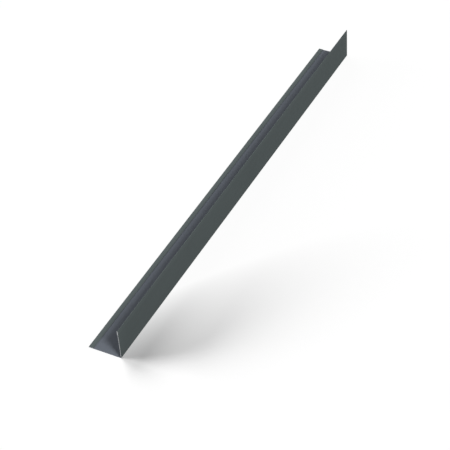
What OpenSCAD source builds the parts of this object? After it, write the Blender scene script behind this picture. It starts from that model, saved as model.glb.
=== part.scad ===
// Outside corner trim: one strip of coated sheet, folded lengthwise to a square angle.
// Each leg's long edge is turned back 180 degrees onto the inside face as a hem.
// The trim lies as it rests: one leg flat on the floor, the other standing, length along Y.
// The origin is in the middle of the flat leg's outside face. All sizes are in millimetres.

/* [Stock] */
// Length of the trim, from one square cut to the other
trim_length = 2000; // [500:50:3000]
// Thickness of the sheet
sheet_t = 1; // [0.5:0.1:2]

/* [Legs] */
// Width of the flat leg, over the outside of the corner and its hem
flat_leg_w = 135; // [60:1:250]
// Height of the standing leg, over the outside of the corner and its hem
standing_leg_h = 135; // [60:1:250]
// Inside radius of the fold between the legs
corner_r = 1; // [0.4:0.1:6]

/* [Hems] */
// Width of the hem on the flat leg, from its folded edge to the strip's cut edge
flat_hem_w = 20; // [8:0.5:30]
// Width of the hem on the standing leg, from its folded edge to the strip's cut edge
standing_hem_w = 20; // [8:0.5:30]
// Air gap between a hem and the leg that it is folded onto
hem_gap = 0.8; // [0.2:0.1:3]

/* [Hidden] */
coat_colour = [0.29, 0.32, 0.33];
fold_deg = 90;
hem_deg = 180;
arc_fn = 64;

// How far a fold's outside stands out past the flat run next to it
corner_out = corner_r + sheet_t;
hem_r = hem_gap / 2;
hem_out = hem_r + sheet_t;

// The strip's flat runs, each followed by its fold: [run, fold angle, inside radius]
strip = [
  [flat_hem_w - hem_out, hem_deg, hem_r],
  [flat_leg_w - hem_out - corner_out, fold_deg, corner_r],
  [standing_leg_h - corner_out - hem_out, hem_deg, hem_r],
  [standing_hem_w - hem_out, 0, 0],
];

// A fold's section: a piece of ring about its own centre, starting straight below it
module fold_section(deg, inside_r) {
  outside_r = inside_r + sheet_t;
  intersection() {
    difference() {
      circle(outside_r, $fn = arc_fn);
      circle(inside_r, $fn = arc_fn);
    }
    if (deg == hem_deg)
      translate([0, -outside_r]) square([outside_r, 2 * outside_r]);
    else
      translate([0, -outside_r]) square(outside_r);
  }
}

// The strip's section from its run number i on. The run starts at the origin and goes along +X,
// with the sheet's inside face on Y = 0 and every fold turning towards that face.
module strip_section(i = 0) {
  run = strip[i][0];
  deg = strip[i][1];
  inside_r = strip[i][2];
  translate([0, -sheet_t]) square([run, sheet_t]);
  if (deg > 0)
    translate([run, inside_r]) {
      fold_section(deg, inside_r);
      rotate(deg) translate([0, -inside_r]) strip_section(i + 1);
    }
}

// The strip starts at the cut edge of the flat leg's hem, heading for that hem's fold
module corner_trim() {
  color(coat_colour)
    rotate([90, 0, 0])
      linear_extrude(trim_length, center = true)
        translate([flat_hem_w - flat_leg_w / 2, sheet_t + hem_gap])
          rotate(180)
            strip_section();
}

corner_trim();
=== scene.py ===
import math

import bpy
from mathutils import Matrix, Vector


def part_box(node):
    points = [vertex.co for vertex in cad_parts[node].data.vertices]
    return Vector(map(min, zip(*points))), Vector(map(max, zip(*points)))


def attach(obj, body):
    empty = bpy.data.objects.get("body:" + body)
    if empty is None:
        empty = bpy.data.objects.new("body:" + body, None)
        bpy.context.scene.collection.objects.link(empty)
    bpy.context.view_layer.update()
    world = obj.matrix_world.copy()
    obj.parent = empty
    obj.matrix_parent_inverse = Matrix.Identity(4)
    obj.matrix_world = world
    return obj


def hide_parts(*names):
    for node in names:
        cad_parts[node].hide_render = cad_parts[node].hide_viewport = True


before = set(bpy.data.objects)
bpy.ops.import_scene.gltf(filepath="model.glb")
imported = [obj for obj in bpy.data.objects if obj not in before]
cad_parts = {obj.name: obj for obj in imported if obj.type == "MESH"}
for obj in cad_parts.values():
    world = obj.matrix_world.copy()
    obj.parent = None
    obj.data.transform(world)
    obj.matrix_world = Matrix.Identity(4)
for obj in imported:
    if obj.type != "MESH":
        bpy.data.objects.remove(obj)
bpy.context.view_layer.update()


# Corner trim. One strip of coil-coated sheet, folded square along its length on a folding machine.
# Its two long edges are turned back onto the inside as hems that stay slightly open. Both ends are
# cut square after coating, so bright bare metal shows there. The slit edges are dull metal, painted
# dark as painted shade along the hems' step.
trim_low, trim_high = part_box("corner_trim")
trim_length = trim_high[1] - trim_low[1]
sheet = 0.001
corner_inside = 0.001
corner_radius = corner_inside + sheet
hem_gap = 0.0008
hem_width = 0.020
hem_radius = hem_gap / 2 + sheet
hem_face = trim_low[2] + 2 * hem_radius
slit_edge = trim_low[0] + hem_width
corner_steps = 12
hem_steps = 16
length_cuts = 40
crease_margin = 0.0004
same_place = 0.00001
merge_distance = 0.000001


def select_edges_at(x, z):
    """Leaves selected only the edges along the trim whose place in its section is (x, z)."""
    bpy.ops.object.mode_set(mode="OBJECT")
    mesh = bpy.context.object.data
    for elements in (mesh.polygons, mesh.edges, mesh.vertices):
        elements.foreach_set("select", [False] * len(elements))
    for edge in mesh.edges:
        ends = [mesh.vertices[i].co for i in edge.vertices]
        edge.select = all(math.hypot(end.x - x, end.z - z) < same_place for end in ends)
    bpy.ops.object.mode_set(mode="EDIT")
    bpy.ops.mesh.select_mode(type="EDGE")


def run_on(distance, heading):
    """Extends the sheet from its selected edge, with a narrow strip beside the fold at either end."""
    for step in (crease_margin, distance - 2 * crease_margin, crease_margin):
        move = (heading[0] * step, 0, heading[1] * step)
        bpy.ops.mesh.extrude_region_move(TRANSFORM_OT_translate={"value": move})


def fold(degrees, steps, x, z):
    """Folds the sheet on from its selected edge, about the line at (x, z) of the section."""
    bpy.ops.mesh.spin(steps=steps, angle=math.radians(degrees), center=(x, 0, z), axis=(0, 1, 0))


# The outside face is folded up first, from the slit edge of the flat leg's hem to the slit edge of
# the standing leg's hem. It gets the sheet's thickness inwards once it has its finishes.
bpy.ops.object.select_all(action="DESELECT")
bpy.ops.mesh.primitive_grid_add(x_subdivisions=1, y_subdivisions=length_cuts, size=1)
trim = bpy.context.object
trim.name = "folded_trim"
trim.data.name = "folded_trim"
bpy.ops.object.mode_set(mode="EDIT")
bpy.ops.transform.resize(value=(crease_margin, trim_length, 1))
bpy.ops.transform.translate(value=(slit_edge - crease_margin / 2, 0, hem_face))
select_edges_at(slit_edge - crease_margin, hem_face)
run_on(hem_width - crease_margin - hem_radius, (-1, 0))
fold(180, hem_steps, trim_low[0] + hem_radius, trim_low[2] + hem_radius)
run_on(trim_high[0] - trim_low[0] - hem_radius - corner_radius, (1, 0))
fold(90, corner_steps, trim_high[0] - corner_radius, trim_low[2] + corner_radius)
run_on(trim_high[2] - trim_low[2] - corner_radius - hem_radius, (0, 1))
fold(180, hem_steps, trim_high[0] - hem_radius, trim_high[2] - hem_radius)
run_on(hem_width - hem_radius, (0, -1))
bpy.ops.mesh.select_all(action="SELECT")
bpy.ops.mesh.remove_doubles(threshold=merge_distance)
bpy.ops.mesh.normals_make_consistent(inside=False)
bpy.ops.object.mode_set(mode="OBJECT")
trim.select_set(True)


def add_node(tree, kind, values=None, links=None, **settings):
    """A node with its settings, its inputs' values and what is linked into it."""
    node = tree.nodes.new(kind)
    for key, value in settings.items():
        setattr(node, key, value)
    for key, value in (values or {}).items():
        node.inputs[key].default_value = value
    for key, socket in (links or {}).items():
        tree.links.new(socket, node.inputs[key])
    return node


def add_noise(tree, size, vector, detail=2):
    """A soft random pattern from 0 to 1, with blotches about size metres across."""
    values = {"Scale": 1 / size, "Detail": detail}
    return add_node(tree, "ShaderNodeTexNoise", values, {"Vector": vector}).outputs["Fac"]


def rescale(tree, value, start, end, low, high):
    """Carries a value from the span start to end onto the span low to high, and no further."""
    values = {"From Min": start, "From Max": end, "To Min": low, "To Max": high}
    return add_node(tree, "ShaderNodeMapRange", values, {"Value": value}).outputs[0]


def combine(tree, operation, first, second):
    """The sum, product or the like of two sockets, or of a socket and a number."""
    node = add_node(tree, "ShaderNodeMath", operation=operation)
    for slot, term in enumerate((first, second)):
        if isinstance(term, (int, float)):
            node.inputs[slot].default_value = term
        else:
            tree.links.new(term, node.inputs[slot])
    return node.outputs[0]


def average(tree, first, second):
    """The middle of two patterns."""
    return combine(tree, "MULTIPLY", combine(tree, "ADD", first, second), 0.5)


def new_pattern(name, inputs):
    """A shader node group for a surface's pattern, with the number inputs and defaults given."""
    group = bpy.data.node_groups.new(name, "ShaderNodeTree")
    for label, default in inputs.items():
        socket = group.interface.new_socket(label, in_out="INPUT", socket_type="NodeSocketFloat")
        socket.default_value = default
    for label, kind in (("Shade", "Float"), ("Roughness", "Float"), ("Normal", "Vector")):
        group.interface.new_socket(label, in_out="OUTPUT", socket_type="NodeSocket" + kind)
    given = add_node(group, "NodeGroupInput").outputs
    place = add_node(group, "ShaderNodeTexCoord").outputs["Object"]
    return group, given, place


# A soft random pattern hardly ever leaves this span.
usual_low = 0.3
usual_high = 0.7


def uneven(tree, pattern, shade_spread, roughness, roughness_spread):
    """The shade around 1 and the roughness around its given value that a random pattern makes."""
    shade = rescale(tree, pattern, usual_low, usual_high, 1 - shade_spread, 1 + shade_spread)
    change = rescale(tree, pattern, usual_low, usual_high, -roughness_spread, roughness_spread)
    return shade, combine(tree, "ADD", roughness, change)


# The coat's pattern: faint streaks along the strip from the coating roller, a cloudy change of
# shade, a slow wave of the sheet and fine peel from curing. Over the outside of each fold the coat
# is crazed and duller, and darker as painted shade. Near each hemmed edge it is paler as a painted
# highlight.
streak_width = 0.006
streak_stretch = (1, 0.03, 1)
cloud_size = 0.11
coat_shade_spread = 0.08
coat_roughness_spread = 0.06
wave_length = 0.2
wave_height = 0.0006
peel_size = 0.0016
peel_height = 0.00005
craze_size = 0.003
craze_low = 0.35
craze_high = 0.65
least_crazed = 0.4
crazed_roughness = 0.1
# The painted highlight near each hemmed edge is full this far in from it and gone by the next.
hem_highlight_full = 0.65 * hem_width
hem_highlight_end = 1.1 * hem_width
coat_pattern, given, place = new_pattern(
    "coat_pattern", {"Roughness": 0.8, "Peel Depth": 0.1, "Painted Fold Shade": 0, "Painted Hem Highlight": 0}
)
along = add_node(
    coat_pattern, "ShaderNodeMapping", {"Scale": streak_stretch}, {"Vector": place}
).outputs[0]
streaks = add_noise(coat_pattern, streak_width, along, detail=3)
cloud = add_noise(coat_pattern, cloud_size, place, detail=4)
marbled = average(coat_pattern, streaks, cloud)
shade, roughness = uneven(
    coat_pattern, marbled, coat_shade_spread, given["Roughness"], coat_roughness_spread
)

# X minus Z is the same where the corner's fold starts on either leg, and highest along its crest.
corner_start = trim_high[0] - corner_radius
corner_crest = trim_high[0] - (2 - math.sqrt(2)) * corner_radius
at = add_node(coat_pattern, "ShaderNodeSeparateXYZ", links={"Vector": place}).outputs
over_corner = combine(coat_pattern, "SUBTRACT", at["X"], at["Z"])
over_corner = rescale(coat_pattern, over_corner, corner_start, corner_crest, 0, 1)
over_flat_hem = rescale(coat_pattern, at["X"], trim_low[0] + hem_radius, trim_low[0], 0, 1)
over_top_hem = rescale(coat_pattern, at["Z"], trim_high[2] - hem_radius, trim_high[2], 0, 1)
over_hems = combine(coat_pattern, "MAXIMUM", over_flat_hem, over_top_hem)
over_folds = combine(coat_pattern, "MAXIMUM", over_corner, over_hems)
crazing = add_noise(coat_pattern, craze_size, place, detail=3)
crazing = rescale(coat_pattern, crazing, craze_low, craze_high, least_crazed, 1)
# The crazed folds are duller, and the same mask carries the painted shade over them.
crazed_and_shaded = combine(coat_pattern, "MULTIPLY", over_folds, crazing)
duller = combine(coat_pattern, "MULTIPLY", crazed_and_shaded, crazed_roughness)
# Masks for the painted highlight, full near each hemmed edge and fading out inwards.
on_flat_hem = rescale(
    coat_pattern, at["X"], trim_low[0] + hem_highlight_end, trim_low[0] + hem_highlight_full, 0, 1
)
on_top_hem = rescale(
    coat_pattern, at["Z"], trim_high[2] - hem_highlight_end, trim_high[2] - hem_highlight_full, 0, 1
)
hem_highlight_mask = combine(coat_pattern, "MAXIMUM", on_flat_hem, on_top_hem)
# Painted shade: the fold value darkens the coat over the crazed folds.
painted_fold_shade = combine(coat_pattern, "MULTIPLY", crazed_and_shaded, given["Painted Fold Shade"])
# Painted highlight: the hem value lightens the coat near each hemmed edge.
painted_hem_highlight = combine(coat_pattern, "MULTIPLY", hem_highlight_mask, given["Painted Hem Highlight"])
shade = combine(coat_pattern, "ADD", shade, combine(coat_pattern, "ADD", painted_fold_shade, painted_hem_highlight))

wave = add_node(
    coat_pattern, "ShaderNodeBump", {"Distance": wave_height},
    {"Height": add_noise(coat_pattern, wave_length, along, detail=1)},
).outputs[0]
peel = add_node(
    coat_pattern, "ShaderNodeBump", {"Distance": peel_height},
    {
        "Height": add_noise(coat_pattern, peel_size, place),
        "Strength": given["Peel Depth"],
        "Normal": wave,
    },
).outputs[0]
add_node(coat_pattern, "NodeGroupOutput", links={
    "Shade": shade,
    "Roughness": combine(coat_pattern, "ADD", roughness, duller),
    "Normal": peel,
})

# The pattern of cut metal: shear marks a fraction of a millimetre apart, and longer dull patches.
mark_size = 0.0003
mark_height = 0.00004
patch_size = 0.012
cut_shade_spread = 0.18
cut_roughness_spread = 0.12
shear_pattern, given, place = new_pattern("shear_pattern", {"Roughness": 0.4, "Mark Depth": 0.5})
marks = add_noise(shear_pattern, mark_size, place)
patches = add_noise(shear_pattern, patch_size, place, detail=3)
worn = average(shear_pattern, marks, patches)
shade, roughness = uneven(
    shear_pattern, worn, cut_shade_spread, given["Roughness"], cut_roughness_spread
)
grooves = add_node(
    shear_pattern, "ShaderNodeBump", {"Distance": mark_height},
    {"Height": marks, "Strength": given["Mark Depth"]},
).outputs[0]
add_node(
    shear_pattern, "NodeGroupOutput",
    links={"Shade": shade, "Roughness": roughness, "Normal": grooves},
)


def add_finish(name, colour, metallic, gloss, pattern, pattern_values):
    """Gives the trim a finish of one colour, which the pattern varies in shade, gloss and relief."""
    finish = bpy.data.materials.new(name)
    finish.use_nodes = True
    tree = finish.node_tree
    surface = tree.nodes["Principled BSDF"].inputs
    surface["Metallic"].default_value = metallic
    surface["Specular IOR Level"].default_value = gloss
    varied = add_node(tree, "ShaderNodeGroup", node_tree=pattern)
    for label, value in pattern_values.items():
        varied.inputs[label].default_value = value
    tint = add_node(
        tree, "ShaderNodeVectorMath", {0: colour}, {1: varied.outputs["Shade"]}, operation="MULTIPLY"
    ).outputs[0]
    tree.links.new(tint, surface["Base Color"])
    tree.links.new(varied.outputs["Roughness"], surface["Roughness"])
    tree.links.new(varied.outputs["Normal"], surface["Normal"])
    trim.data.materials.append(finish)
    return len(trim.data.materials) - 1


# The outer coat's fold value is painted shade over the folds, and its hem value a painted highlight
# near the hemmed edges.
add_finish(
    "outer_coat", colour=(0.086, 0.103, 0.1035), metallic=0, gloss=0.1, pattern=coat_pattern,
    pattern_values={
        "Roughness": 0.78, "Peel Depth": 0.12, "Painted Fold Shade": -0.2, "Painted Hem Highlight": 0.08
    },
)
# The back coat is the sheet's own backing; its bluer tint is painted cool light from above.
back_coat = add_finish(
    "back_coat", colour=(0.122, 0.136, 0.160), metallic=0, gloss=0.1, pattern=coat_pattern,
    pattern_values={"Roughness": 0.8, "Peel Depth": 0.06},
)
cut_metal = add_finish(
    "cut_metal", colour=(0.75, 0.76, 0.78), metallic=1, gloss=0.5, pattern=shear_pattern,
    pattern_values={"Roughness": 0.35, "Mark Depth": 0.5},
)
# The slit edges are dull metal whose dark colour is painted shade along the hems' step.
slit_metal_painted_shade = add_finish(
    "slit_metal_painted_shade", colour=(0.13, 0.13, 0.135), metallic=0.6, gloss=0.5, pattern=shear_pattern,
    pattern_values={"Roughness": 0.6, "Mark Depth": 0.8},
)

# The thickness goes on inwards, with the back coat inside and bare metal all round the edge. Then
# the bare faces along the trim become slit edges, and all cut edges get a slight rounding.
end_facing = 0.5
cut_edge_round = 0.00012
cut_edge_steps = 2
cut_edge_angle = 60
smooth_angle = 35
thickness = trim.modifiers.new("thickness", "SOLIDIFY")
thickness.thickness = sheet
thickness.offset = -1
thickness.use_even_offset = True
thickness.material_offset = back_coat
thickness.material_offset_rim = cut_metal
bpy.ops.object.modifier_apply(modifier=thickness.name)
for face in trim.data.polygons:
    if face.material_index == cut_metal and abs(face.normal.y) < end_facing:
        face.material_index = slit_metal_painted_shade
rounding = trim.modifiers.new("rounding", "BEVEL")
rounding.width = cut_edge_round
rounding.segments = cut_edge_steps
rounding.limit_method = "ANGLE"
rounding.angle_limit = math.radians(cut_edge_angle)
bpy.ops.object.modifier_apply(modifier=rounding.name)
bpy.ops.object.shade_smooth_by_angle(angle=math.radians(smooth_angle))

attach(trim, "root")
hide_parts("corner_trim")


# Studio floor. A plain floor, white to the eye, that keeps the trim's soft shadow. The shadow is
# deep in an oval that slants away from the trim's near end, and faint outside it. The floor throws
# back little light.
floor_size = 60
floor_level = 1.01
floor_bounce = 0.12
shadow_middle = (trim_high[0] + 0.205, trim_low[1] + 0.166, 0)
shadow_turn = (0, 0, math.radians(56.6))
shadow_oval = (1.2, 0.287, 1)
near_shadow = 1
far_shadow = 0.046


def where_seen(tree):
    """A mask that is 1 where a surface is looked at, straight or in a reflection, and 0 elsewhere."""
    ray = add_node(tree, "ShaderNodeLightPath").outputs
    looked_at = combine(tree, "MAXIMUM", ray["Is Camera Ray"], ray["Is Glossy Ray"])
    return combine(tree, "MAXIMUM", looked_at, ray["Is Transmission Ray"])


bpy.ops.object.select_all(action="DESELECT")
bpy.ops.mesh.primitive_plane_add(size=floor_size)
floor = bpy.context.object
floor.name = "studio_floor"
floor_white = bpy.data.materials.new("floor_white")
floor_white.use_nodes = True
tree = floor_white.node_tree
tree.nodes.remove(tree.nodes["Principled BSDF"])

# To the eye the floor is partly matt, which takes the shadow, and its glow makes up the white.
ground = add_node(tree, "ShaderNodeTexCoord").outputs["Object"]
in_oval = add_node(
    tree, "ShaderNodeMapping",
    {"Location": shadow_middle, "Rotation": shadow_turn, "Scale": shadow_oval},
    {"Vector": ground}, vector_type="TEXTURE",
).outputs[0]
away = add_node(tree, "ShaderNodeVectorMath", links={0: in_oval}, operation="LENGTH")
shadow = rescale(tree, away.outputs["Value"], 0, 1, near_shadow, far_shadow)
seen = where_seen(tree)
matt_share = add_node(
    tree, "ShaderNodeMapRange", {"To Min": floor_bounce}, {"Value": seen, "To Max": shadow}
).outputs[0]
matt = add_node(tree, "ShaderNodeBsdfDiffuse", links={"Color": matt_share}).outputs[0]
glow = combine(tree, "MULTIPLY", seen, combine(tree, "SUBTRACT", floor_level, shadow))
glow = add_node(tree, "ShaderNodeEmission", links={"Strength": glow}).outputs[0]
white = add_node(tree, "ShaderNodeAddShader", links={0: matt, 1: glow}).outputs[0]
tree.links.new(white, tree.nodes["Material Output"].inputs["Surface"])
floor.data.materials.append(floor_white)


# Studio light. A sky that is white to the eye and dimmer as a light, and lamps that are set apart.
# A soft key light from the right and a wide fill from the left behind fall on the trim alone. Two
# soft lamps from the left, one low and one high, fall on the floor alone for its shadow.
sky_level = 0.25
sky = bpy.data.worlds.new("studio_sky")
bpy.context.scene.world = sky
sky.use_nodes = True
tree = sky.node_tree
background = tree.nodes["Background"].inputs
background["Color"].default_value = (1, 1, 1, 1)
tree.links.new(rescale(tree, where_seen(tree), 0, 1, sky_level, 1), background["Strength"])


def soft_sun(name, towards, level, spread, lit_piece):
    """A lamp far off in the direction given, which lights one piece only. On a level surface it
    gives the share level of full light, and it looks spread degrees wide."""
    direction = Vector(towards).normalized()
    lamp_data = bpy.data.lights.new(name, "SUN")
    lamp_data.energy = level * math.pi / direction.z
    lamp_data.angle = math.radians(spread)
    lamp = bpy.data.objects.new(name, lamp_data)
    bpy.context.collection.objects.link(lamp)
    lamp.rotation_euler = direction.to_track_quat("Z", "Y").to_euler()
    lit = bpy.data.collections.new(name + "_lit")
    lit.objects.link(lit_piece)
    lamp.light_linking.receiver_collection = lit


soft_sun("key_light", towards=(0.60, -0.32, 0.75), level=0.65, spread=13.5, lit_piece=trim)
soft_sun("fill_light", towards=(-0.60, 0.50, 0.55), level=0.20, spread=50, lit_piece=trim)
soft_sun("low_floor_light", towards=(-0.93, -0.29, 0.22), level=0.37, spread=32, lit_piece=floor)
soft_sun("high_floor_light", towards=(-0.64, 0.37, 0.68), level=0.39, spread=35, lit_piece=floor)


# Camera. It looks down on the trim from beyond its near end and to the right, at the photograph's
# angle, distance and width of view, with no shift.
camera_data = bpy.data.cameras.new("camera")
camera_data.lens = 117.031
camera_data.clip_end = 100
camera = bpy.data.objects.new("camera", camera_data)
bpy.context.collection.objects.link(camera)
camera.location = (2.1921, -3.9090, 3.7339)
camera.rotation_euler = [math.radians(angle) for angle in (48.6061, 3.2456, 26.9177)]
bpy.context.scene.camera = camera
bpy.context.scene.view_settings.view_transform = "Standard"
